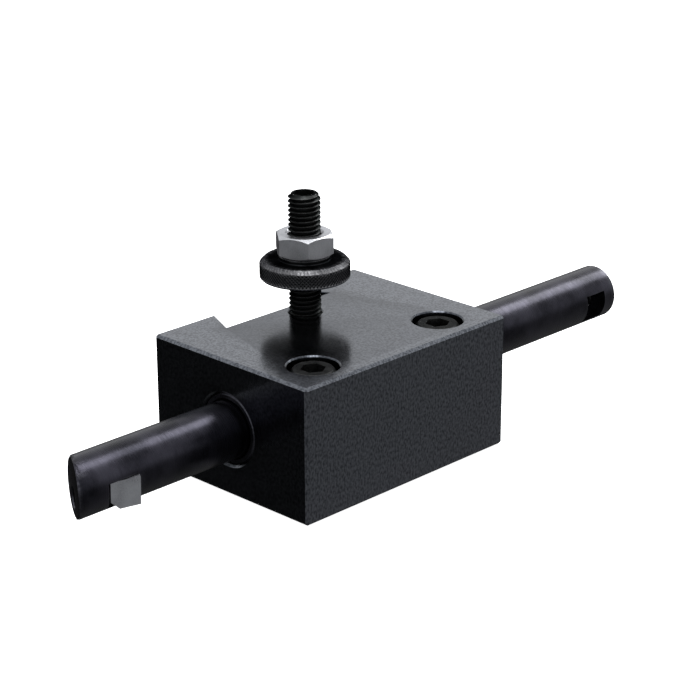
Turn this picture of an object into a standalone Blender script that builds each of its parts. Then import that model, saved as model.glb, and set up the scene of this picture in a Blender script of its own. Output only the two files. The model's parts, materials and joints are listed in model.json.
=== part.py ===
"""Quick-change boring bar tool holder, with its bar, tool bit, clamps and height stop.

The holder is a steel block that hangs on a tool post by the dovetail groove in its back.
A round boring bar runs through the block in a split reducing sleeve. Two cap screws draw
two round wedge plugs up against the sleeve and lock it. A stud with a knurled thumb nut and
a hexagon lock nut sets the height at which the holder hangs.

Frame: +Y runs along the bar from the cutter end to the rear end, +X points away from the
tool post, +Z is up. The origin is the centre of the block's underside.
"""

import bmesh
import bpy
from math import cos, pi, radians, tan
from mathutils import Matrix

MM = 0.001
INCH = 25.4 * MM
GAP = 0.3 * MM                      # clearance between two pieces that touch
PAST = 1.0 * MM                     # how far a cutter reaches past the face that it cuts
SEGMENTS = 64
SMALL_SEGMENTS = 32

# Block
BLOCK_WIDTH = 92.6 * MM             # X
BLOCK_LENGTH = 122.4 * MM           # Y
BLOCK_HEIGHT = 60.8 * MM            # Z
EDGE_CHAMFER = 1.2 * MM

# Dovetail groove in the back face
GROOVE_DEPTH = 16.1 * MM
GROOVE_CENTRE_Y = -2.6 * MM
GROOVE_FLOOR_WIDTH = 62.5 * MM
DOVETAIL_ANGLE = radians(66)        # between a flank and the groove floor

# Bore, sleeve and bar
BORE_X = -1.2 * MM
BORE_Z = 29.7 * MM
BORE_RADIUS = 1.25 * INCH / 2
BORE_CHAMFER = 1.0 * MM
SLEEVE_RECESS = 0.8 * MM            # of each sleeve end inside the block's face
SLEEVE_SLIT = 1.6 * MM
BAR_RADIUS = INCH / 2
BAR_FRONT_Y = -144.0 * MM           # where the bar's axis meets its angled front face
BAR_REAR_Y = 185.6 * MM
BAR_FACE_ANGLE = radians(30)        # of the front face and the bit, from square
BAR_CHAMFER = 1.0 * MM

# Tool bit, its slots and its lock screws
BIT_SIDE = INCH / 2
BIT_SETBACK = 20.7 * MM             # from the front face to the bit's centreline
BIT_REACH = 2.75 * MM               # from the lock screw's axis to the cutting end, along the bit
BIT_LENGTH = 23.7 * MM
BIT_DROP = 4.0 * MM                 # of the front bit below the bar's axis
BIT_END_ANGLE = radians(15)         # of the cutting end, from square
BIT_RELIEF = 1.2 * MM               # of the cutting end's lower edge
BIT_CORNER = 2.6 * MM
REAR_SLOT_SETBACK = 15.0 * MM       # from the rear face to the rear slot's centreline
REAR_SLOT_DROP = 2.0 * MM           # of the rear slot below the bar's axis
LOCK_SCREW_RADIUS = 5 / 16 * INCH / 2
LOCK_SCREW_CHAMFER = 0.5 * MM
LOCK_SCREW_KEY = 5 / 32 * INCH
LOCK_SCREW_KEY_DEPTH = 3.2 * MM
LOCK_SCREW_SUNK = 0.4 * MM

# Clamp screws and draw plugs
CLAMP_X = 29.0 * MM
CLAMP_CENTRE_Y = -2.0 * MM
CLAMP_SPACING = 3 * INCH
CLAMP_SCREW_RADIUS = INCH / 4
CLAMP_SCREW_LENGTH = 1.25 * INCH
CLAMP_SCREW_CHAMFER = 1.0 * MM
CLAMP_HEAD_RADIUS = 3 / 8 * INCH
CLAMP_HEAD_HEIGHT = INCH / 2
CLAMP_HEAD_CHAMFER = 0.8 * MM
CLAMP_HEAD_SUNK = 1.2 * MM
CLAMP_KEY = 3 / 8 * INCH
CLAMP_KEY_DEPTH = 6.2 * MM
CLAMP_HOLE_RADIUS = 6.9 * MM
COUNTERBORE_RADIUS = 11.1 * MM
COUNTERBORE_CHAMFER = 0.6 * MM
PLUG_RADIUS = 15.0 * MM
PLUG_BOTTOM_Z = 4.0 * MM
PLUG_TOP_Z = 34.5 * MM
PLUG_CHAMFER = 1.0 * MM
PLUG_HOLE_TOP_Z = 37.0 * MM
PLUG_RELIEF_RADIUS = 16.3 * MM      # of the hollow that bears on the sleeve

# Height stud with its thumb nut and lock nut
STUD_X = -20.2 * MM
STUD_Y = 3.9 * MM
STUD_RADIUS = 9 / 16 * INCH / 2
STUD_BOTTOM_Z = 45.0 * MM
STUD_TOP_Z = 115.2 * MM
STUD_CHAMFER = 1.0 * MM
STUD_KEY = 5 / 16 * INCH
STUD_KEY_DEPTH = 7.0 * MM
STUD_HOLE_CHAMFER = 0.5 * MM
THUMB_RADIUS = 20.0 * MM
THUMB_BOTTOM_Z = 77.0 * MM
THUMB_THICKNESS = 8.7 * MM
THUMB_CHAMFER = 1.9 * MM
THUMB_LOWER_CHAMFER = 0.8 * MM
HUB_RADIUS = 11.5 * MM
HUB_HEIGHT = 2.0 * MM
NUT_ACROSS_FLATS = 15 / 16 * INCH
NUT_HEIGHT = 9.5 * MM
NUT_TURN = radians(-38)             # the way that one of its corners points
NUT_CROWN = radians(30)             # slope of the nut's turned corners

ALONG_BAR = (pi / 2, 0.0, 0.0)      # turns local Z to -Y, from the rear end to the cutter

PARTS = bpy.data.collections.new("boring_bar_tool_holder")
CUTTERS = bpy.data.collections.new("cutters")


def clear_scene():
    for obj in list(bpy.data.objects):
        bpy.data.objects.remove(obj, do_unlink=True)
    for collection in (PARTS, CUTTERS):
        bpy.context.scene.collection.children.link(collection)


def steel(name, colour, roughness):
    material = bpy.data.materials.new(name)
    material.use_nodes = True
    shader = material.node_tree.nodes["Principled BSDF"]
    shader.inputs["Base Color"].default_value = (*colour, 1.0)
    shader.inputs["Metallic"].default_value = 1.0
    shader.inputs["Roughness"].default_value = roughness
    return material


# Making and placing objects

def add_object(name, mesh, material=None):
    """Link a new object: a part if it has a material, a cutter if it has none."""
    obj = bpy.data.objects.new(name, mesh)
    if material is None:
        CUTTERS.objects.link(obj)
        obj.hide_render = True
        obj.display_type = 'WIRE'
    else:
        PARTS.objects.link(obj)
        mesh.materials.append(material)
    return obj


def place(obj, location=(0.0, 0.0, 0.0), rotation=(0.0, 0.0, 0.0), parent=None):
    obj.location = location
    obj.rotation_euler = rotation
    obj.parent = parent
    return obj


def add_axis(name, location=(0.0, 0.0, 0.0), rotation=(0.0, 0.0, 0.0), parent=None):
    empty = bpy.data.objects.new(name, None)
    PARTS.objects.link(empty)
    return place(empty, location, rotation, parent)


def mesh_from(name, bm):
    mesh = bpy.data.meshes.new(name)
    bm.to_mesh(mesh)
    bm.free()
    return mesh


def block(name, size, centre=(0.0, 0.0, 0.0), material=None):
    bm = bmesh.new()
    shape = Matrix.Translation(centre) @ Matrix.Diagonal((*size, 1.0))
    bmesh.ops.create_cube(bm, size=1.0, matrix=shape)
    return add_object(name, mesh_from(name, bm), material)


def hexagon(name, across_flats, bottom, top, turn=0.0, material=None):
    """An upright hexagonal prism with one corner at the angle turn."""
    bm = bmesh.new()
    radius = across_flats / 2 / cos(pi / 6)
    shape = Matrix.Translation((0, 0, (bottom + top) / 2)) @ Matrix.Rotation(turn + pi / 6, 4, 'Z')
    bmesh.ops.create_cone(bm, cap_ends=True, segments=6, radius1=radius, radius2=radius,
                          depth=top - bottom, matrix=shape)
    return add_object(name, mesh_from(name, bm), material)


def turned(name, profile, material=None, segments=SEGMENTS, ring=False):
    """Turn a profile of (radius, height) points about Z. It runs down the outer side."""
    bm = bmesh.new()
    corners = [bm.verts.new((radius, 0.0, height)) for radius, height in profile]
    for start, end in zip(corners, corners[1:]):
        bm.edges.new((start, end))
    if ring:
        bm.edges.new((corners[-1], corners[0]))
    obj = add_object(name, mesh_from(name, bm), material)
    screw = obj.modifiers.new("turn", 'SCREW')
    screw.axis = 'Z'
    screw.steps = segments
    screw.render_steps = segments
    screw.use_merge_vertices = True
    screw.merge_threshold = 0.00001
    return obj


def rod(radius, bottom, top, bottom_chamfer=0.0, top_chamfer=0.0):
    """The profile of a rod. A chamfer below 0 is a flare."""
    profile = [(0.0, top), (radius - top_chamfer, top)]
    if top_chamfer:
        profile.append((radius, top - abs(top_chamfer)))
    if bottom_chamfer:
        profile.append((radius, bottom + abs(bottom_chamfer)))
    return profile + [(radius - bottom_chamfer, bottom), (0.0, bottom)]


def boolean(obj, other, operation='DIFFERENCE'):
    modifier = obj.modifiers.new(other.name, 'BOOLEAN')
    modifier.operation = operation
    modifier.object = other
    modifier.solver = 'EXACT'


# Block

def clamp_places():
    """The name and the Y of each clamp screw."""
    return (("front", CLAMP_CENTRE_Y - CLAMP_SPACING / 2), ("rear", CLAMP_CENTRE_Y + CLAMP_SPACING / 2))


def groove_cutter():
    """The dovetail: a bar of trapezoid section, widest at the groove's floor."""
    floor_x = GROOVE_DEPTH - BLOCK_WIDTH / 2
    depth = GROOVE_DEPTH + PAST
    middle_x = floor_x - depth / 2
    cutter = block("dovetail_groove", (depth, GROOVE_FLOOR_WIDTH, BLOCK_HEIGHT + 2 * PAST),
                   (middle_x, GROOVE_CENTRE_Y, BLOCK_HEIGHT / 2))
    for vertex in cutter.data.vertices:
        if vertex.co.x < middle_x:
            inward = -1 if vertex.co.y > GROOVE_CENTRE_Y else 1
            vertex.co.y += inward * depth / tan(DOVETAIL_ANGLE)
    return cutter


def clamp_hole_cutter(end):
    """The counterbore for a clamp screw's head, the hole below it, and the plug's hole."""
    floor = BLOCK_HEIGHT - CLAMP_HEAD_SUNK - CLAMP_HEAD_HEIGHT - GAP
    counterbore = rod(COUNTERBORE_RADIUS, floor, BLOCK_HEIGHT + PAST,
                      top_chamfer=-(COUNTERBORE_CHAMFER + PAST))
    hole = [(CLAMP_HOLE_RADIUS, floor), (CLAMP_HOLE_RADIUS, PLUG_HOLE_TOP_Z)]
    plug_hole = rod(PLUG_RADIUS + GAP, -PAST, PLUG_HOLE_TOP_Z)
    return turned("clamp_hole_" + end, counterbore[:-1] + hole + plug_hole[1:])


def make_holder_body(material):
    body = block("holder_body", (BLOCK_WIDTH, BLOCK_LENGTH, BLOCK_HEIGHT),
                 (0.0, 0.0, BLOCK_HEIGHT / 2), material)
    boolean(body, groove_cutter())
    bevel = body.modifiers.new("edges", 'BEVEL')
    bevel.width = EDGE_CHAMFER
    bevel.segments = 1
    bevel.limit_method = 'ANGLE'

    flare = -(BORE_CHAMFER + PAST)
    reach = BLOCK_LENGTH / 2 + PAST
    bore = turned("bore", rod(BORE_RADIUS, -reach, reach, flare, flare))
    boolean(body, place(bore, (BORE_X, 0.0, BORE_Z), ALONG_BAR))

    for end, y in clamp_places():
        boolean(body, place(clamp_hole_cutter(end), (CLAMP_X, y, 0.0)))

    profile = rod(STUD_RADIUS + GAP, STUD_BOTTOM_Z - GAP, BLOCK_HEIGHT + PAST,
                  top_chamfer=-(STUD_HOLE_CHAMFER + PAST))
    stud_hole = turned("stud_hole", profile, segments=SMALL_SEGMENTS)
    boolean(body, place(stud_hole, (STUD_X, STUD_Y, 0.0)))


# Clamp screws and draw plugs

def make_clamp(end, y, screw_steel, plug_steel):
    """A cap screw and the plug that it draws up, both on the screw's axis."""
    axis = add_axis("clamp_axis_" + end, (CLAMP_X, y, 0.0))
    head_top = BLOCK_HEIGHT - CLAMP_HEAD_SUNK
    head_bottom = head_top - CLAMP_HEAD_HEIGHT
    head = rod(CLAMP_HEAD_RADIUS, head_bottom, head_top, top_chamfer=CLAMP_HEAD_CHAMFER)
    shank = rod(CLAMP_SCREW_RADIUS, head_bottom - CLAMP_SCREW_LENGTH, head_bottom, CLAMP_SCREW_CHAMFER)
    screw = turned("clamp_screw_" + end, head[:-1] + shank[1:], screw_steel)
    place(screw, parent=axis)
    socket = hexagon("clamp_socket_" + end, CLAMP_KEY, head_top - CLAMP_KEY_DEPTH, head_top + PAST)
    boolean(screw, place(socket, parent=axis))

    plug = turned("draw_plug_" + end, rod(PLUG_RADIUS, PLUG_BOTTOM_Z, PLUG_TOP_Z, PLUG_CHAMFER,
                                          PLUG_CHAMFER), plug_steel)
    place(plug, parent=axis)
    thread = turned("plug_thread_" + end, rod(CLAMP_SCREW_RADIUS + GAP, PLUG_BOTTOM_Z - PAST,
                                              PLUG_TOP_Z + PAST))
    boolean(plug, place(thread, parent=axis))
    relief = turned("plug_relief_" + end, rod(PLUG_RELIEF_RADIUS, -2 * PLUG_RADIUS, 2 * PLUG_RADIUS))
    boolean(plug, place(relief, (BORE_X - CLAMP_X, 0.0, BORE_Z), ALONG_BAR, axis))


# Sleeve, bar, tool bit and lock screws

def make_sleeve(bar_axis, material):
    """The split sleeve that brings the bore down to the bar. Its slit faces down."""
    half = BLOCK_LENGTH / 2 - SLEEVE_RECESS
    outer = BORE_RADIUS - GAP
    inner = BAR_RADIUS + GAP
    section = [(inner, half), (outer, half), (outer, -half), (inner, -half)]
    sleeve = turned("reducing_sleeve", section, material, ring=True)
    place(sleeve, parent=bar_axis)
    slit = block("sleeve_slit", (SLEEVE_SLIT, BORE_RADIUS, BLOCK_LENGTH), (0.0, -BORE_RADIUS, 0.0))
    boolean(sleeve, place(slit, parent=bar_axis))


def make_bar(bar_axis, face_axis, bit_axis, rear_axis, screw_axes, material):
    """The bar with its angled front face, its two bit slots and its two screw holes."""
    profile = rod(BAR_RADIUS, -BAR_REAR_Y, BAR_RADIUS - BAR_FRONT_Y, BAR_CHAMFER)
    bar = turned("boring_bar", profile, material)
    place(bar, parent=bar_axis)

    trim_side = 4 * BAR_RADIUS
    trim = block("front_trim", (trim_side, trim_side, trim_side), (0.0, 0.0, trim_side / 2))
    boolean(bar, place(trim, parent=face_axis))

    slot_side = BIT_SIDE + 2 * GAP
    slot_size = (6 * BAR_RADIUS, slot_side, slot_side)
    boolean(bar, place(block("front_bit_slot", slot_size), parent=bit_axis))
    rear_slot = block("rear_bit_slot", slot_size, (0.0, 0.0, -REAR_SLOT_SETBACK))
    boolean(bar, place(rear_slot, parent=rear_axis))

    for end, axis, setback in screw_axes:
        hole = turned(end + "_screw_hole", rod(LOCK_SCREW_RADIUS + GAP, -setback, PAST),
                      segments=SMALL_SEGMENTS)
        boolean(bar, place(hole, parent=axis))


def make_tool_bit(bit_axis, material):
    """The square bit. Its cutting end leans back below and behind, with its low corner ground off."""
    bit = block("tool_bit", (BIT_LENGTH, BIT_SIDE, BIT_SIDE),
                (BIT_REACH - BIT_LENGTH / 2, 0.0, 0.0), material)
    for vertex in bit.data.vertices:
        if vertex.co.x > 0:
            vertex.co.x += vertex.co.z * tan(BIT_END_ANGLE)
            if vertex.co.y < 0:
                vertex.co.x -= BIT_RELIEF
    place(bit, parent=bit_axis)
    corner = block("bit_corner", (BIT_LENGTH, 2 * BIT_CORNER, 2 * BIT_CORNER))
    quarter = pi / 4
    place(corner, (BIT_REACH, -BIT_SIDE / 2, BIT_SIDE / 2), (quarter, 0.0, 0.0), bit_axis)
    boolean(bit, corner)


def make_lock_screw(end, axis, setback, material):
    """A socket set screw. Its tip is level with the wall of the bit slot."""
    top = -LOCK_SCREW_SUNK
    tip = BIT_SIDE / 2 + 2 * GAP - setback
    profile = rod(LOCK_SCREW_RADIUS, tip, top, LOCK_SCREW_CHAMFER, LOCK_SCREW_CHAMFER)
    screw = turned("bit_lock_screw_" + end, profile, material, SMALL_SEGMENTS)
    place(screw, parent=axis)
    socket = hexagon("lock_socket_" + end, LOCK_SCREW_KEY, top - LOCK_SCREW_KEY_DEPTH, top + PAST)
    boolean(screw, place(socket, parent=axis))


def make_bar_assembly(black, sleeve_steel, bright):
    bar_axis = add_axis("bar_axis", (BORE_X, 0.0, BORE_Z), ALONG_BAR)
    face_axis = add_axis("front_face_axis", (0.0, 0.0, -BAR_FRONT_Y), (0.0, -BAR_FACE_ANGLE, 0.0), bar_axis)
    screw_axis = add_axis("front_screw_axis", (0.0, -BIT_DROP, 0.0), parent=face_axis)
    bit_axis = add_axis("bit_axis", (0.0, 0.0, -BIT_SETBACK), parent=screw_axis)
    rear_place = (0.0, -REAR_SLOT_DROP, -BAR_REAR_Y)
    rear_axis = add_axis("rear_screw_axis", rear_place, (0.0, pi, 0.0), bar_axis)
    screw_axes = (("front", screw_axis, BIT_SETBACK), ("rear", rear_axis, REAR_SLOT_SETBACK))
    make_sleeve(bar_axis, sleeve_steel)
    make_bar(bar_axis, face_axis, bit_axis, rear_axis, screw_axes, black)
    make_tool_bit(bit_axis, bright)
    for end, axis, setback in screw_axes:
        make_lock_screw(end, axis, setback, black)


# Height stop

def make_height_stop(black, bright):
    axis = add_axis("stud_axis", (STUD_X, STUD_Y, 0.0))
    stud = turned("height_stud", rod(STUD_RADIUS, STUD_BOTTOM_Z, STUD_TOP_Z, STUD_CHAMFER, STUD_CHAMFER),
                  black, SMALL_SEGMENTS)
    place(stud, parent=axis)
    socket = hexagon("stud_socket", STUD_KEY, STUD_TOP_Z - STUD_KEY_DEPTH, STUD_TOP_Z + PAST)
    boolean(stud, place(socket, parent=axis))

    disc_top = THUMB_BOTTOM_Z + THUMB_THICKNESS
    hub_top = disc_top + HUB_HEIGHT
    hole = STUD_RADIUS + GAP
    section = [
        (hole, hub_top),
        (HUB_RADIUS, hub_top),
        (HUB_RADIUS, disc_top),
        (THUMB_RADIUS - THUMB_CHAMFER, disc_top),
        (THUMB_RADIUS, disc_top - THUMB_CHAMFER),
        (THUMB_RADIUS, THUMB_BOTTOM_Z + THUMB_LOWER_CHAMFER),
        (THUMB_RADIUS - THUMB_LOWER_CHAMFER, THUMB_BOTTOM_Z),
        (hole, THUMB_BOTTOM_Z),
    ]
    place(turned("thumb_nut", section, black, ring=True), parent=axis)

    nut_bottom = hub_top + GAP
    nut_top = nut_bottom + NUT_HEIGHT
    nut = hexagon("lock_nut", NUT_ACROSS_FLATS, nut_bottom, nut_top, NUT_TURN, bright)
    place(nut, parent=axis)
    flat = NUT_ACROSS_FLATS / 2
    corner = flat / cos(pi / 6)
    drop = (corner - flat) * tan(NUT_CROWN)
    crown_profile = [(0.0, nut_top), (flat, nut_top), (corner, nut_top - drop),
                     (corner, nut_bottom + drop), (flat, nut_bottom), (0.0, nut_bottom)]
    crown = turned("nut_crown", crown_profile)
    boolean(nut, place(crown, parent=axis), 'INTERSECT')
    thread = turned("nut_thread", rod(hole, nut_bottom - PAST, nut_top + PAST), segments=SMALL_SEGMENTS)
    boolean(nut, place(thread, parent=axis))


def main():
    clear_scene()
    black_oxide = steel("black_oxide_steel", (0.03, 0.032, 0.036), 0.38)
    screw_black = steel("black_screw_steel", (0.03, 0.03, 0.032), 0.45)
    sleeve_black = steel("sleeve_steel", (0.05, 0.05, 0.055), 0.4)
    bright = steel("bright_steel", (0.56, 0.57, 0.58), 0.35)
    make_holder_body(black_oxide)
    for end, y in clamp_places():
        make_clamp(end, y, screw_black, sleeve_black)
    make_bar_assembly(black_oxide, sleeve_black, bright)
    make_height_stop(screw_black, bright)


main()
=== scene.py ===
import json
from math import atan2, cos, floor, pi, radians, sin, tan

import bmesh
import bpy
from mathutils import Matrix, Vector


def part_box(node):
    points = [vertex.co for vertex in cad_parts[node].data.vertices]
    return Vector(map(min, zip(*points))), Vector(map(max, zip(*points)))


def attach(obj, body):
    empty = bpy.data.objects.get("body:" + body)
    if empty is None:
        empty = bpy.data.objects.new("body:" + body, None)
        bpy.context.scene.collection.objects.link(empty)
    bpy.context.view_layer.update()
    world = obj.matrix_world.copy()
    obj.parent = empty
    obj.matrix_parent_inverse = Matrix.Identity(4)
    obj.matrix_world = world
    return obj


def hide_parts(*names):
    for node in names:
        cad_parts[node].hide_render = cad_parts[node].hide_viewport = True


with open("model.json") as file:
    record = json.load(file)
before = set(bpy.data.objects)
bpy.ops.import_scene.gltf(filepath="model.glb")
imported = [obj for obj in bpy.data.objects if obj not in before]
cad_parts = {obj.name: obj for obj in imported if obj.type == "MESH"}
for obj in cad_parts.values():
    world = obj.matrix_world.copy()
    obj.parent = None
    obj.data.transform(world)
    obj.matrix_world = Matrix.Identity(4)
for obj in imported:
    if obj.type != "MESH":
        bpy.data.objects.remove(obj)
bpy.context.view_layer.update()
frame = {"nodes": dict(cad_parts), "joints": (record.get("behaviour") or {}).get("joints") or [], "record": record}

# The looks of the boring bar tool holder. Every piece stands in the row frame, in metres: +Y runs
# along the bar to its rear end, +X points away from the tool post, +Z is up.

MM = 0.001
INCH = 25.4 * MM
ROUND = 128                         # segments of a large circle
SMALL_ROUND = 64
PAST = 1.0 * MM                     # how far a cutter reaches past the face that it cuts
GAP = 0.3 * MM                      # between parts that fit together
NUT_GAP = 0.25 * MM                 # between the stud and the two nuts on it
HOLE_EASE = 0.5 * MM                # the chamfer at a small hole's mouth
ENDS = ("front", "rear")

RECORD = frame["record"]
JOINTS = {joint["name"]: joint for joint in frame["joints"]}


# Places and sizes taken from the frame

def middle(node):
    low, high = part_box(node)
    return (low + high) / 2


def span(node):
    low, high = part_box(node)
    return high - low


def joint_line(name):
    """A point on a joint's axis, and the axis."""
    joint = JOINTS[name]
    return Vector(joint.get("pos_m", (0.0, 0.0, 0.0))), Vector(joint["axis"])


BLOCK_LOW, BLOCK_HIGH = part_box("holder_body")
SLEEVE = middle("reducing_sleeve")
SLEEVE_RADIUS = span("reducing_sleeve").x / 2
BAR_RADIUS = span("boring_bar").x / 2
BAR_LOW, BAR_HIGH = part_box("boring_bar")
STUD = middle("height_stud")
FACE_POINT, FACE_NORMAL = joint_line("bit_lock_front_turn")
BIT_AXIS = joint_line("bit_slide")[1]
BIT_SIDE = span("tool_bit").z


# Mesh tools

THREAD_DEPTH = 0.6                  # of the pitch
THREAD_ROOT_STEP = 0.12 * MM        # how far a thread's end chamfer goes below its root


def new_piece(name, bm):
    bmesh.ops.recalc_face_normals(bm, faces=bm.faces)
    mesh = bpy.data.meshes.new(name)
    bm.to_mesh(mesh)
    bm.free()
    piece = bpy.data.objects.new(name, mesh)
    bpy.context.scene.collection.objects.link(piece)
    return piece


def reach_of(vertex):
    """A point's distance from the Z axis."""
    return vertex.co.xy.length


def lathe(name, rows, segments=ROUND, closed=False):
    """Turn rows of (radius, height, relief, shift) about Z. A row with relief has every second
    point sunk by it, from the point that shift names, so two shifts in turn make a diamond knurl."""
    bm = bmesh.new()
    rings = []
    for radius, height, relief, shift in [(*row, 0.0, 0)[:4] for row in rows]:
        if radius == 0.0:
            rings.append([bm.verts.new((0.0, 0.0, height))] * segments)
            continue
        ring = []
        for i in range(segments):
            turn = 2 * pi * i / segments
            reach = radius - relief * ((i + shift) % 2)
            ring.append(bm.verts.new((reach * cos(turn), reach * sin(turn), height)))
        rings.append(ring)
    pairs = list(zip(rings, rings[1:]))
    if closed:
        pairs.append((rings[-1], rings[0]))
    for upper, lower in pairs:
        for i in range(segments):
            j = (i + 1) % segments
            corners = list(dict.fromkeys((upper[i], lower[i], lower[j], upper[j])))
            upper_step = reach_of(upper[i]) - reach_of(upper[j])
            lower_step = reach_of(lower[i]) - reach_of(lower[j])
            crossed = (upper_step < 0) == (lower_step > 0)
            if len(corners) == 4 and crossed and upper_step != 0:
                first, second, third, fourth = corners
                if reach_of(first) > reach_of(second):
                    second, third, fourth, first = corners
                bm.faces.new((first, second, third))
                bm.faces.new((first, third, fourth))
            else:
                bm.faces.new(corners)
    return new_piece(name, bm)


def chamfered(radius, low, high, low_chamfer=0.0, high_chamfer=0.0):
    """Rows of a rod. A chamfer below 0 is a flare."""
    rows = [(0.0, high), (radius - high_chamfer, high)]
    if high_chamfer:
        rows.append((radius, high - abs(high_chamfer)))
    if low_chamfer:
        rows.append((radius, low + abs(low_chamfer)))
    return rows + [(radius - low_chamfer, low), (0.0, low)]


def threaded(name, radius, pitch, low, high, segments=SMALL_ROUND):
    """A rod with a real right-hand thread, chamfered at both ends to just below the thread's root."""
    depth = THREAD_DEPTH * pitch
    chamfer = depth + THREAD_ROOT_STEP
    form = ((0.0, 0.0), (0.14, 0.0), (0.5, depth), (0.64, depth))
    first = floor(low / pitch) - 2
    last = floor(high / pitch) + 1
    levels = [(turn + phase, sink) for turn in range(first, last + 1) for phase, sink in form]
    bm = bmesh.new()
    columns = []
    for i in range(segments):
        turn = 2 * pi * i / segments
        column = []
        for level, sink in levels:
            height = min(max((level + i / segments) * pitch, low), high)
            reach = min(radius - sink, radius - chamfer + min(height - low, high - height))
            column.append(bm.verts.new((reach * cos(turn), reach * sin(turn), height)))
        columns.append(column)
    count = len(levels)
    for i in range(segments):
        nearby = columns[i + 1] if i + 1 < segments else columns[0][len(form):]
        for k in range(min(count, len(nearby)) - 1):
            bm.faces.new((columns[i][k], nearby[k], nearby[k + 1], columns[i][k + 1]))
    bmesh.ops.remove_doubles(bm, verts=bm.verts, dist=1e-6)
    bmesh.ops.dissolve_degenerate(bm, edges=bm.edges, dist=1e-7)
    rim = [edge for edge in bm.edges if edge.is_boundary]
    bmesh.ops.holes_fill(bm, edges=rim, sides=0)
    return new_piece(name, bm)


def box(name, size, centre=(0.0, 0.0, 0.0)):
    bm = bmesh.new()
    shape = Matrix.Translation(centre) @ Matrix.Diagonal((*size, 1.0))
    bmesh.ops.create_cube(bm, size=1.0, matrix=shape)
    return new_piece(name, bm)


def hexagon(name, across_flats, low, high, turn=0.0):
    bm = bmesh.new()
    radius = across_flats / 2 / cos(pi / 6)
    shape = Matrix.Translation((0, 0, (low + high) / 2)) @ Matrix.Rotation(turn + pi / 6, 4, 'Z')
    bmesh.ops.create_cone(bm, cap_ends=True, segments=6, radius1=radius, radius2=radius,
                          depth=high - low, matrix=shape)
    return new_piece(name, bm)


def moved(piece, matrix):
    """Move the mesh itself, so that the piece's object stays at the origin."""
    piece.data.transform(matrix)
    return piece


def along(direction, point):
    """The matrix that takes local Z to a direction, through a point."""
    return Matrix.Translation(point) @ Vector(direction).to_track_quat('Z', 'Y').to_matrix().to_4x4()


def cut(piece, cutter, operation='DIFFERENCE'):
    """Apply a boolean at once and remove the cutter."""
    modifier = piece.modifiers.new("cut", 'BOOLEAN')
    modifier.operation = operation
    modifier.object = cutter
    modifier.solver = 'EXACT'
    bpy.context.view_layer.update()
    ready = piece.evaluated_get(bpy.context.evaluated_depsgraph_get())
    mesh = bpy.data.meshes.new_from_object(ready)
    piece.modifiers.clear()
    spent = piece.data
    piece.data = mesh
    bpy.data.meshes.remove(spent)
    used = cutter.data
    bpy.data.objects.remove(cutter)
    bpy.data.meshes.remove(used)
    return piece


def finish_piece(piece, material, body, node, smooth=30.0):
    """Give a piece its steel and body, and hide the frame's node that it replaces. Edges over smooth degrees stay
    sharp.
    """
    piece.data.materials.clear()
    piece.data.materials.append(material)
    piece.data.shade_smooth()
    piece.data.set_sharp_from_angle(angle=radians(smooth))
    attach(piece, body)
    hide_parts(node)
    return piece


# Materials

def noise(nodes, links, source, scale, size, detail=3.0):
    """Noise with its own stretch: scale is in cells a metre along each axis, times size."""
    mapping = nodes.new("ShaderNodeMapping")
    mapping.inputs["Scale"].default_value = scale
    links.new(source, mapping.inputs["Vector"])
    texture = nodes.new("ShaderNodeTexNoise")
    texture.inputs["Scale"].default_value = size
    texture.inputs["Detail"].default_value = detail
    links.new(mapping.outputs["Vector"], texture.inputs["Vector"])
    return texture.outputs["Fac"]


def remap(nodes, links, value, low, high, start=0.3, end=0.7):
    node = nodes.new("ShaderNodeMapRange")
    node.inputs["From Min"].default_value = start
    node.inputs["From Max"].default_value = end
    node.inputs["To Min"].default_value = low
    node.inputs["To Max"].default_value = high
    links.new(value, node.inputs["Value"])
    return node.outputs["Result"]


def blend_colours(nodes, links, factor, first, second):
    node = nodes.new("ShaderNodeMix")
    node.data_type = 'RGBA'
    links.new(factor, node.inputs["Factor"])
    for socket, colour in ((node.inputs[6], first), (node.inputs[7], second)):
        if isinstance(colour, tuple):
            socket.default_value = (*colour, 1.0)
        else:
            links.new(colour, socket)
    return node.outputs[2]


SPECKLE = 18                        # how much finer the speckle is than the clouds
SPECKLE_MIX = 0.22                  # the most that the speckle lightens the tone
MARKS_MIX = 0.35                    # the most that the grain darkens it


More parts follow.
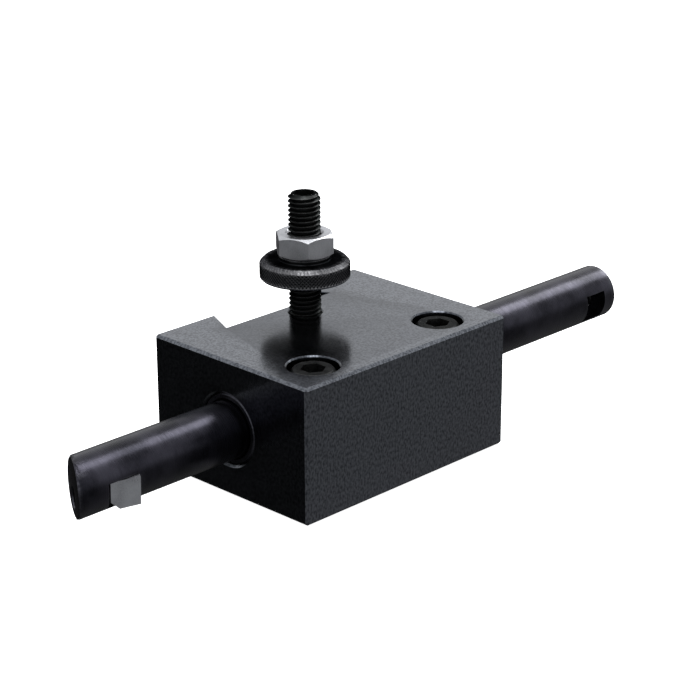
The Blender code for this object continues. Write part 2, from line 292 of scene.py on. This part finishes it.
def steel(name, dark, light, rough, grain, mottle, grain_depth, worn, wear, tint=1.0):
    """Steel with cloudy tone, a directed grain and brighter rubbed edges.

    dark and light are the tones it clouds between, rough its lowest and highest roughness, and
    grain the cells a metre along X, Y and Z of its grinding or turning marks. grain_depth is in mm.
    worn is the tone of rubbed edges and wear how strongly it shows. tint darkens the gloss that the
    steel has at a low angle, as an oiled black finish does.
    """
    material = bpy.data.materials.new(name)
    material.use_nodes = True
    nodes, links = material.node_tree.nodes, material.node_tree.links
    shader = nodes["Principled BSDF"]
    shader.inputs["Metallic"].default_value = 1.0
    shader.inputs["Specular Tint"].default_value = (tint, tint, tint, 1.0)
    place = nodes.new("ShaderNodeTexCoord").outputs["Object"]

    clouds = noise(nodes, links, place, (1, 1, 1), mottle, 6.0)
    speckle = noise(nodes, links, place, (1, 1, 0.6), mottle * SPECKLE, 3.0)
    marks = noise(nodes, links, place, grain, 1.0, 4.0)
    tone = blend_colours(nodes, links, remap(nodes, links, clouds, 0.0, 1.0, 0.35, 0.65), dark, light)
    flecks = remap(nodes, links, speckle, 0.0, SPECKLE_MIX, 0.4, 0.75)
    tone = blend_colours(nodes, links, flecks, tone, light)
    scratches = remap(nodes, links, marks, 0.0, MARKS_MIX, 0.4, 0.75)
    tone = blend_colours(nodes, links, scratches, tone, dark)
    ridge = nodes.new("ShaderNodeNewGeometry").outputs["Pointiness"]
    edges = remap(nodes, links, ridge, 0.0, wear, 0.51, 0.56)
    rubbed = nodes.new("ShaderNodeMath")
    rubbed.operation = 'MULTIPLY'
    links.new(edges, rubbed.inputs[0])
    links.new(remap(nodes, links, speckle, 0.3, 1.0, 0.35, 0.6), rubbed.inputs[1])
    tone = blend_colours(nodes, links, rubbed.outputs["Value"], tone, worn)
    links.new(tone, shader.inputs["Base Color"])

    mixed = nodes.new("ShaderNodeMath")
    mixed.operation = 'ADD'
    links.new(remap(nodes, links, marks, 0.0, rough[1] - rough[0]), mixed.inputs[0])
    links.new(remap(nodes, links, clouds, rough[0] - 0.02, rough[0] + 0.04), mixed.inputs[1])
    links.new(mixed.outputs["Value"], shader.inputs["Roughness"])

    bump = nodes.new("ShaderNodeBump")
    bump.inputs["Strength"].default_value = 1.0
    bump.inputs["Distance"].default_value = grain_depth * MM
    links.new(marks, bump.inputs["Height"])
    links.new(bump.outputs["Normal"], shader.inputs["Normal"])
    return material



BLOCK_STEEL = steel("block_steel", (0.010, 0.012, 0.016), (0.027, 0.031, 0.039), (0.13, 0.21),
                    (1400, 1400, 90), 60.0, 0.002, (0.17, 0.18, 0.20), 0.9)
BAR_STEEL = steel("bar_steel", (0.013, 0.013, 0.017), (0.040, 0.039, 0.050), (0.22, 0.34),
                  (140, 3200, 140), 70.0, 0.003, (0.14, 0.14, 0.16), 0.4)
SLEEVE_STEEL = steel("sleeve_steel", (0.014, 0.015, 0.018), (0.034, 0.035, 0.041), (0.28, 0.42),
                     (200, 2600, 200), 90.0, 0.004, (0.10, 0.10, 0.12), 0.5)
SCREW_STEEL = steel("screw_steel", (0.010, 0.011, 0.011), (0.022, 0.024, 0.024), (0.30, 0.45),
                    (500, 500, 2600), 160.0, 0.003, (0.10, 0.10, 0.10), 0.5, 0.35)
THUMB_STEEL = steel("thumb_nut_steel", (0.006, 0.006, 0.007), (0.014, 0.015, 0.016), (0.32, 0.46),
                    (900, 900, 1800), 130.0, 0.004, (0.22, 0.22, 0.23), 0.8, 0.2)
NUT_STEEL = steel("nut_steel", (0.34, 0.35, 0.37), (0.50, 0.51, 0.54), (0.30, 0.45),
                  (1600, 1600, 260), 140.0, 0.006, (0.62, 0.62, 0.63), 0.4, 0.8)
BIT_STEEL = steel("bit_steel", (0.40, 0.41, 0.44), (0.54, 0.56, 0.59), (0.26, 0.38),
                  (600, 3000, 600), 120.0, 0.006, (0.65, 0.66, 0.68), 0.3)


# Block

CHAMFER = 1.2 * MM
GROOVE_CHAMFER = 0.4 * MM
GROOVE_FLOOR_X = [m["pos_m"][0] for m in RECORD["mounts"] if m["name"] == "dovetail_seat"][0]
GROOVE_MIDDLE_Y = -2.6 * MM
GROOVE_FLOOR_WIDTH = 62.5 * MM
DOVETAIL_ANGLE = radians(66)
BORE_RADIUS = SLEEVE_RADIUS + GAP
BORE_CHAMFER = 1.0 * MM
COUNTERBORE_RADIUS = 11.1 * MM
COUNTERBORE_CHAMFER = 0.6 * MM
HEAD_HEIGHT = INCH / 2
CLAMP_HOLE_RADIUS = 6.9 * MM
PLUG_HOLE_TOP = 37.0 * MM
CORNER_TURN = radians(50)           # the least turn between faces at a corner that gets a chamfer


def groove_outline():
    """The block seen from above, with the dovetail groove in its back."""
    back = BLOCK_LOW.x
    lean = (GROOVE_FLOOR_X - back) / tan(DOVETAIL_ANGLE)
    near = GROOVE_MIDDLE_Y - GROOVE_FLOOR_WIDTH / 2
    far = GROOVE_MIDDLE_Y + GROOVE_FLOOR_WIDTH / 2
    return [
        (back, BLOCK_LOW.y),
        (BLOCK_HIGH.x, BLOCK_LOW.y),
        (BLOCK_HIGH.x, BLOCK_HIGH.y),
        (back, BLOCK_HIGH.y),
        (back, far - lean),
        (GROOVE_FLOOR_X, far),
        (GROOVE_FLOOR_X, near),
        (back, near + lean),
    ]


def is_corner(edge):
    """A sharp outside edge between two of the block's faces."""
    return edge.is_convex and edge.calc_face_angle() > CORNER_TURN


def is_groove(edge):
    """An edge of the dovetail groove, and not of the block's outside."""
    centre = (edge.verts[0].co + edge.verts[1].co) / 2
    off_middle = abs(centre.y - GROOVE_MIDDLE_Y)
    return centre.x < GROOVE_FLOOR_X + MM and off_middle < GROOVE_FLOOR_WIDTH / 2 + MM


def make_block():
    bm = bmesh.new()
    outline = [bm.verts.new((x, y, BLOCK_LOW.z)) for x, y in groove_outline()]
    base = bm.faces.new(outline)
    raised = bmesh.ops.extrude_face_region(bm, geom=[base])["geom"]
    tops = [item for item in raised if isinstance(item, bmesh.types.BMVert)]
    bmesh.ops.translate(bm, verts=tops, vec=(0.0, 0.0, BLOCK_HIGH.z - BLOCK_LOW.z))
    bmesh.ops.recalc_face_normals(bm, faces=bm.faces)
    for offset, in_groove in ((CHAMFER, False), (GROOVE_CHAMFER, True)):
        edges = [edge for edge in bm.edges if is_corner(edge) and is_groove(edge) == in_groove]
        bmesh.ops.bevel(bm, geom=edges, offset=offset, segments=1, affect='EDGES')
    block = new_piece("block", bm)

    reach = BLOCK_HIGH.y + PAST
    flare = -(BORE_CHAMFER + PAST)
    bore = lathe("bore", chamfered(BORE_RADIUS, -reach, reach, flare, flare))
    cut(block, moved(bore, along((0, 1, 0), (SLEEVE.x, 0.0, SLEEVE.z))))

    for end in ENDS:
        centre = middle("clamp_screw_" + end)
        head_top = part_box("clamp_screw_" + end)[1].z
        plug_radius = span("draw_plug_" + end).y / 2 + GAP
        floor_z = head_top - HEAD_HEIGHT - GAP
        flare = -(COUNTERBORE_CHAMFER + PAST)
        rows = chamfered(COUNTERBORE_RADIUS, floor_z, BLOCK_HIGH.z + PAST, 0.0, flare)[:-1]
        rows += [(CLAMP_HOLE_RADIUS, floor_z), (CLAMP_HOLE_RADIUS, PLUG_HOLE_TOP)]
        rows += [(plug_radius, PLUG_HOLE_TOP), (plug_radius, BLOCK_LOW.z + HOLE_EASE),
                 (plug_radius + HOLE_EASE + PAST, BLOCK_LOW.z - PAST), (0.0, BLOCK_LOW.z - PAST)]
        cut(block, moved(lathe("clamp_hole", rows), Matrix.Translation((centre.x, centre.y, 0.0))))

    stud_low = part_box("height_stud")[0].z
    stud_radius = span("height_stud").x / 2 + GAP
    rows = chamfered(stud_radius, stud_low - GAP, BLOCK_HIGH.z + PAST, 0.0, -(HOLE_EASE + PAST))
    stud_hole = lathe("stud_hole", rows, SMALL_ROUND)
    cut(block, moved(stud_hole, Matrix.Translation((STUD.x, STUD.y, 0.0))))
    finish_piece(block, BLOCK_STEEL, "holder", "holder_body", 20.0)


# Height stop

STUD_PITCH = INCH / 12
STUD_KEY = 5 / 16 * INCH
STUD_KEY_DEPTH = 7.0 * MM
THUMB_TOP_CHAMFER = 1.9 * MM
THUMB_LOW_CHAMFER = 0.8 * MM
HUB_RADIUS = 11.5 * MM
HUB_HEIGHT = 2.0 * MM
RIM_STEP = 0.3 * MM                 # between the smooth rim and the knurl
KNURL_POINTS = 152
KNURL_ROWS = 7
KNURL_DEPTH = 0.42 * MM
NUT_ACROSS_FLATS = 15 / 16 * INCH
NUT_CORNER = radians(-38)
NUT_CROWN = radians(30)


def make_stud():
    low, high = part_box("height_stud")
    stud = threaded("stud", (high.x - low.x) / 2, STUD_PITCH, low.z, high.z)
    cut(stud, hexagon("stud_key", STUD_KEY, high.z - STUD_KEY_DEPTH, high.z + PAST))
    moved(stud, Matrix.Translation((STUD.x, STUD.y, 0.0)))
    finish_piece(stud, SCREW_STEEL, "holder", "height_stud")


def make_thumb_nut():
    low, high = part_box("thumb_nut")
    radius = (high.x - low.x) / 2
    hole = span("height_stud").x / 2 + NUT_GAP
    disc_top = high.z - HUB_HEIGHT
    knurl_low = low.z + THUMB_LOW_CHAMFER
    knurl_high = disc_top - THUMB_TOP_CHAMFER
    ease = 0.4 * MM
    rows = [
        (hole + ease, high.z),
        (HUB_RADIUS - ease, high.z),
        (HUB_RADIUS, high.z - ease),
        (HUB_RADIUS, disc_top + ease),
        (HUB_RADIUS + ease, disc_top),
        (radius - THUMB_TOP_CHAMFER, disc_top),
        (radius - RIM_STEP, knurl_high + RIM_STEP),
    ]
    for k in range(KNURL_ROWS + 1):
        height = knurl_high - RIM_STEP + (knurl_low - knurl_high + RIM_STEP) * k / KNURL_ROWS
        rows.append((radius, height, KNURL_DEPTH, k))
    rows += [
        (radius - THUMB_LOW_CHAMFER, low.z),
        (hole + ease, low.z),
        (hole, low.z + ease),
        (hole, high.z - ease),
    ]
    nut = lathe("knurled_nut", rows, KNURL_POINTS, True)
    moved(nut, Matrix.Translation((STUD.x, STUD.y, 0.0)))
    finish_piece(nut, THUMB_STEEL, "thumb_nut", "thumb_nut", 22.0)


def make_lock_nut():
    low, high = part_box("lock_nut")
    flat = NUT_ACROSS_FLATS / 2
    corner = flat / cos(pi / 6)
    drop = (corner - flat) * tan(NUT_CROWN)
    nut = hexagon("hexagon_nut", NUT_ACROSS_FLATS, low.z, high.z, NUT_CORNER)
    inset = 0.5 * MM
    fall = drop + 2 * inset * tan(NUT_CROWN)
    rows = [(0.0, high.z), (flat - inset, high.z), (corner + inset, high.z - fall),
            (corner + inset, low.z + fall), (flat - inset, low.z), (0.0, low.z)]
    cut(nut, lathe("nut_crown", rows), 'INTERSECT')
    hole = span("height_stud").x / 2 + NUT_GAP
    ease = 1.0 * MM
    flare = -(ease + PAST)
    cut(nut, lathe("nut_hole", chamfered(hole, low.z - PAST, high.z + PAST, flare, flare)))
    moved(nut, Matrix.Translation((STUD.x, STUD.y, 0.0)))
    finish_piece(nut, NUT_STEEL, "lock_nut", "lock_nut", 15.0)


# Sleeve, bar and bit

SLEEVE_CHAMFER = 0.5 * MM
SLEEVE_SLIT = 1.6 * MM
BAR_REAR_CHAMFER = 1.0 * MM
BAR_RING_STEP = 3.0 * MM            # between the rings of points along the bar
BAR_FRONT_CHAMFER = 1.3 * MM
REAR_SLOT_SETBACK = 15.0 * MM
LOCK_PITCH = INCH / 18
LOCK_KEY = 5 / 32 * INCH
LOCK_KEY_DEPTH = 3.2 * MM


def make_sleeve():
    low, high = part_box("reducing_sleeve")
    half = (high.y - low.y) / 2
    inner = BAR_RADIUS + GAP
    ease = SLEEVE_CHAMFER
    rows = [
        (inner + ease, half),
        (SLEEVE_RADIUS - ease, half),
        (SLEEVE_RADIUS, half - ease),
        (SLEEVE_RADIUS, ease - half),
        (SLEEVE_RADIUS - ease, -half),
        (inner + ease, -half),
        (inner, ease - half),
        (inner, half - ease),
    ]
    sleeve = moved(lathe("split_sleeve", rows, ROUND, True), along((0, 1, 0), SLEEVE))
    slit_centre = SLEEVE - Vector((0.0, 0.0, SLEEVE_RADIUS))
    cut(sleeve, box("slit", (SLEEVE_SLIT, 3 * half, SLEEVE_RADIUS), slit_centre))
    finish_piece(sleeve, SLEEVE_STEEL, "sleeve", "reducing_sleeve", 20.0)


def bit_slot_middle():
    """The centre of the front bit slot: on the lock screw's axis, level with the bit."""
    depth = (middle("tool_bit") - FACE_POINT).dot(FACE_NORMAL)
    return FACE_POINT + FACE_NORMAL * depth


def make_bar():
    length = BAR_HIGH.y - BAR_LOW.y
    rings = round((length + BAR_RADIUS) / BAR_RING_STEP)
    rows = [(0.0, 0.0), (BAR_RADIUS - BAR_REAR_CHAMFER, 0.0)]
    rows += [(BAR_RADIUS, -BAR_REAR_CHAMFER - BAR_RING_STEP * k) for k in range(rings)]
    rows.append((0.0, rows[-1][1]))
    bar = moved(lathe("bar", rows), along((0, 1, 0), (SLEEVE.x, BAR_HIGH.y, SLEEVE.z)))

    bm = bmesh.new()
    bm.from_mesh(bar.data)
    geometry = bm.verts[:] + bm.edges[:] + bm.faces[:]
    bmesh.ops.bisect_plane(bm, geom=geometry, plane_co=FACE_POINT, plane_no=FACE_NORMAL,
                           clear_outer=True)
    rim = [edge for edge in bm.edges if edge.is_boundary]
    face = bmesh.ops.contextual_create(bm, geom=rim)["faces"][0]
    bmesh.ops.bevel(bm, geom=list(face.edges), offset=BAR_FRONT_CHAMFER, segments=3, profile=0.5,
                    affect='EDGES')
    bm.to_mesh(bar.data)
    bm.free()

    slot = BIT_SIDE + 2 * GAP
    turn = Matrix.Rotation(atan2(BIT_AXIS.y, BIT_AXIS.x), 4, 'Z')
    front = box("front_slot", (6 * BAR_RADIUS, slot, slot))
    cut(bar, moved(front, Matrix.Translation(bit_slot_middle()) @ turn))
    rear_centre = (SLEEVE.x, BAR_HIGH.y - REAR_SLOT_SETBACK, joint_line("bit_lock_rear_turn")[0].z)
    cut(bar, box("rear_slot", (4 * BAR_RADIUS, slot, slot), rear_centre))

    for end in ENDS:
        point, normal = joint_line("bit_lock_" + end + "_turn")
        radius = span("bit_lock_screw_" + end).z / 2 + GAP
        depth = REAR_SLOT_SETBACK if end == "rear" else (FACE_POINT - bit_slot_middle()).length
        rows = chamfered(radius, -depth, PAST, 0.0, -(HOLE_EASE + PAST))
        cut(bar, moved(lathe("screw_hole", rows, SMALL_ROUND), along(normal, point)))
    finish_piece(bar, BAR_STEEL, "bar", "boring_bar", 20.0)


def make_lock_screws():
    for end in ENDS:
        node = "bit_lock_screw_" + end
        point, normal = joint_line("bit_lock_" + end + "_turn")
        low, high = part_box(node)
        radius = (high.z - low.z) / 2
        solid = frame["nodes"][node].data
        heights = [(vertex.co - point).dot(normal) for vertex in solid.vertices]
        screw = threaded("set_screw_" + end, radius, LOCK_PITCH, min(heights), max(heights))
        cut(screw, hexagon("key", LOCK_KEY, max(heights) - LOCK_KEY_DEPTH, max(heights) + PAST))
        moved(screw, along(normal, point))
        finish_piece(screw, SCREW_STEEL, "bit_lock_" + end, node)


# Clamp screws

CLAMP_PITCH = INCH / 13
CLAMP_RADIUS = INCH / 4
CLAMP_KEY = 3 / 8 * INCH
CLAMP_KEY_DEPTH = 6.2 * MM
HEAD_RADIUS = 3 / 8 * INCH
HEAD_TEETH = 120
TOOTH_DEPTH = 0.22 * MM


def make_clamp_screws():
    for end in ENDS:
        node = "clamp_screw_" + end
        centre = middle(node)
        low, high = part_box(node)
        under = high.z - HEAD_HEIGHT
        ease = 0.8 * MM
        rows = [
            (0.0, high.z),
            (HEAD_RADIUS - ease - 0.3 * MM, high.z),
            (HEAD_RADIUS - 0.35 * MM, high.z - ease),
            (HEAD_RADIUS, high.z - ease - 0.5 * MM, TOOTH_DEPTH, 0),
            (HEAD_RADIUS, under + 0.5 * MM, TOOTH_DEPTH, 0),
            (HEAD_RADIUS - 0.4 * MM, under),
            (0.0, under),
        ]
        screw = lathe("cap_screw_" + end, rows, HEAD_TEETH)
        cut(screw, hexagon("key", CLAMP_KEY, high.z - CLAMP_KEY_DEPTH, high.z + PAST))
        shank = threaded("shank", CLAMP_RADIUS, CLAMP_PITCH, low.z, under + PAST)
        cut(screw, shank, 'UNION')
        moved(screw, Matrix.Translation((centre.x, centre.y, 0.0)))
        finish_piece(screw, SCREW_STEEL, "clamp_" + end, node, 25.0)


def dress_cad_nodes():
    """The bit and the plugs have their right shape in the frame: they only need their steel."""
    for node, material in (("tool_bit", BIT_STEEL), ("draw_plug_front", SLEEVE_STEEL),
                           ("draw_plug_rear", SLEEVE_STEEL)):
        piece = frame["nodes"][node]
        piece.data.materials.clear()
        piece.data.materials.append(material)


# Studio

CAMERA_AZIMUTH = radians(44.42)
CAMERA_ELEVATION = radians(20.74)
CAMERA_ROLL = radians(-0.17)
CAMERA_PLACE = Vector((637.62, -639.39, 390.90)) * MM
CAMERA_LENS = 114.3                 # mm, on a 36 mm sensor
FLOOR_SIZE = 12.0
FLOOR_DROP = 0.2 * MM               # below the block, so that the two never meet
STUDIO_DARK = 0.02                  # the low left side of the studio
STUDIO_GREY = 0.25                  # the low right side
STUDIO_WHITE = 1.05                 # above and behind
LIGHT_TARGET = (0.0, 0.0, 0.05)


def make_camera():
    data = bpy.data.cameras.new("camera")
    data.lens = CAMERA_LENS
    data.sensor_width = 36.0
    data.clip_end = 50.0
    camera = bpy.data.objects.new("camera", data)
    bpy.context.scene.collection.objects.link(camera)
    ahead = Vector((-sin(CAMERA_AZIMUTH) * cos(CAMERA_ELEVATION),
                    cos(CAMERA_AZIMUTH) * cos(CAMERA_ELEVATION),
                    -sin(CAMERA_ELEVATION)))
    right = Vector((cos(CAMERA_AZIMUTH), sin(CAMERA_AZIMUTH), 0.0))
    up = right.cross(ahead)
    side = right * cos(CAMERA_ROLL) + up * sin(CAMERA_ROLL)
    top = up * cos(CAMERA_ROLL) - right * sin(CAMERA_ROLL)
    turn = Matrix((side, top, -ahead)).transposed().to_4x4()
    camera.matrix_world = Matrix.Translation(CAMERA_PLACE) @ turn
    bpy.context.scene.camera = camera


def make_floor():
    bm = bmesh.new()
    bmesh.ops.create_grid(bm, x_segments=1, y_segments=1, size=FLOOR_SIZE / 2)
    ground = new_piece("studio_floor", bm)
    ground.location.z = -FLOOR_DROP
    material = bpy.data.materials.new("studio_floor")
    material.use_nodes = True
    shader = material.node_tree.nodes["Principled BSDF"]
    shader.inputs["Base Color"].default_value = (0.9, 0.9, 0.9, 1.0)
    shader.inputs["Roughness"].default_value = 0.9
    shader.inputs["Emission Color"].default_value = (1.0, 1.0, 1.0, 1.0)
    shader.inputs["Emission Strength"].default_value = 0.85
    ground.data.materials.append(material)
    ground.visible_glossy = False


def make_world():
    """A soft studio: white above and behind, grey below, with a lighter right side."""
    world = bpy.data.worlds.new("studio")
    bpy.context.scene.world = world
    world.use_nodes = True
    nodes, links = world.node_tree.nodes, world.node_tree.links
    background = nodes["Background"]
    direction = nodes.new("ShaderNodeTexCoord").outputs["Generated"]
    parts = nodes.new("ShaderNodeSeparateXYZ")
    links.new(direction, parts.inputs["Vector"])
    low = remap(nodes, links, parts.outputs["X"], STUDIO_DARK, STUDIO_GREY, -0.6, 0.4)
    height = remap(nodes, links, parts.outputs["Z"], 0.0, 1.0, -0.05, 0.25)
    level = nodes.new("ShaderNodeMix")
    level.data_type = 'FLOAT'
    links.new(height, level.inputs["Factor"])
    links.new(low, level.inputs[2])
    level.inputs[3].default_value = STUDIO_WHITE
    links.new(level.outputs[0], background.inputs["Strength"])
    background.inputs["Color"].default_value = (0.97, 0.98, 1.0, 1.0)


def make_light(name, place, size, power):
    data = bpy.data.lights.new(name, 'AREA')
    data.shape = 'RECTANGLE'
    data.size, data.size_y = size
    data.energy = power
    light = bpy.data.objects.new(name, data)
    bpy.context.scene.collection.objects.link(light)
    light.location = place
    light.rotation_euler = (Vector(LIGHT_TARGET) - Vector(place)).to_track_quat('-Z', 'Y').to_euler()


make_block()
make_stud()
make_thumb_nut()
make_lock_nut()
make_sleeve()
make_bar()
make_lock_screws()
make_clamp_screws()
dress_cad_nodes()
make_camera()
make_floor()
make_world()
make_light("overhead", (0.15, -0.15, 0.95), (0.5, 0.5), 4.0)
make_light("behind", (0.0, 0.85, 0.95), (0.5, 0.7), 9.0)
bpy.context.scene.view_settings.view_transform = 'Standard'
